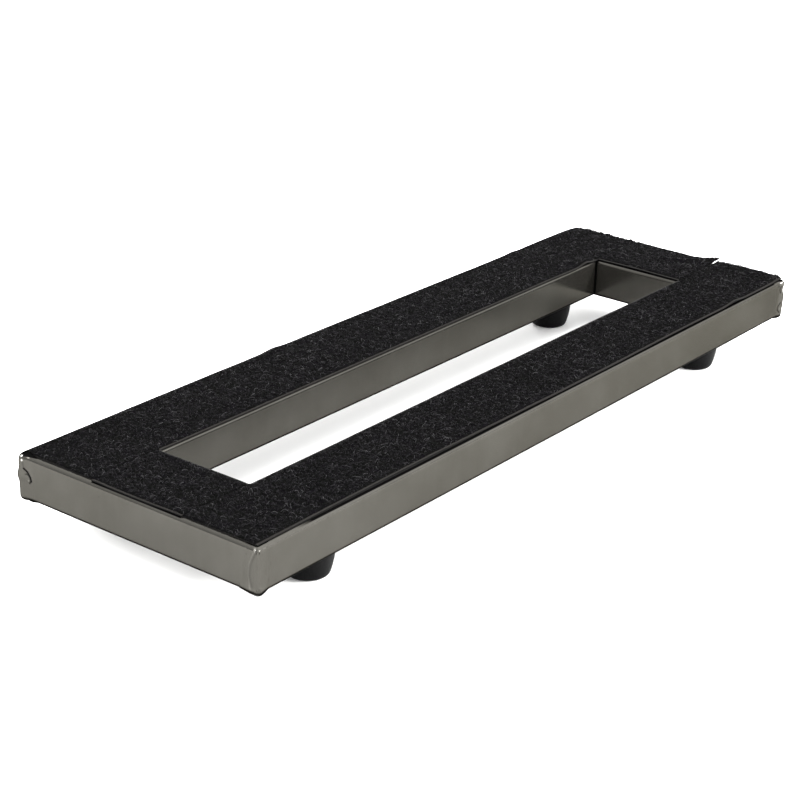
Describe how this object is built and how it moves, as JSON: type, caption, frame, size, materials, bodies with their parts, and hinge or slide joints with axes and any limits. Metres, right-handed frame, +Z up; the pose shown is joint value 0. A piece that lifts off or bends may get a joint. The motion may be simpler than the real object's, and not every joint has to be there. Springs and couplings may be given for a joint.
{
  "type": "pedalboard",
  "caption": "Compact low pedalboard: a flat welded frame of rectangular steel tube with an open cable slot, loop tape on top and tapered rubber feet.",
  "frame": {"origin": "on the floor plane under the middle of the board", "axes": "+X along the board to the player's right, +Y from the player's side to the back, +Z up"},
  "size_m": [0.4106, 0.1306, 0.0386],
  "materials": {
    "painted_steel": "warm gunmetal grey semi-gloss metallic paint on welded steel tube",
    "painted_weld": "the same grey paint over a ground weld bead",
    "loop_tape": "black nylon loop pile, soft and matt",
    "adhesive_film": "thin dark pressure-sensitive adhesive",
    "black_rubber": "moulded black rubber, slightly satin",
    "zinc_steel": "bright zinc-plated steel"
  },
  "bodies": {
    "root": {"front_rail": "painted_steel", "right_rail": "painted_steel", "rear_rail": "painted_steel", "left_rail": "painted_steel", "front_left_weld": "painted_weld", "front_right_weld": "painted_weld", "rear_left_weld": "painted_weld", "rear_right_weld": "painted_weld", "front_loop_strip": "loop_tape", "rear_loop_strip": "loop_tape", "left_loop_strip": "loop_tape", "right_loop_strip": "loop_tape", "front_adhesive_film": "adhesive_film", "rear_adhesive_film": "adhesive_film", "left_adhesive_film": "adhesive_film", "right_adhesive_film": "adhesive_film", "front_left_foot": "black_rubber", "front_right_foot": "black_rubber", "rear_left_foot": "black_rubber", "rear_right_foot": "black_rubber", "front_left_washer": "zinc_steel", "front_right_washer": "zinc_steel", "rear_left_washer": "zinc_steel", "rear_right_washer": "zinc_steel", "front_left_screw": "zinc_steel", "front_right_screw": "zinc_steel", "rear_left_screw": "zinc_steel", "rear_right_screw": "zinc_steel"}
  },
  "joints": []
}
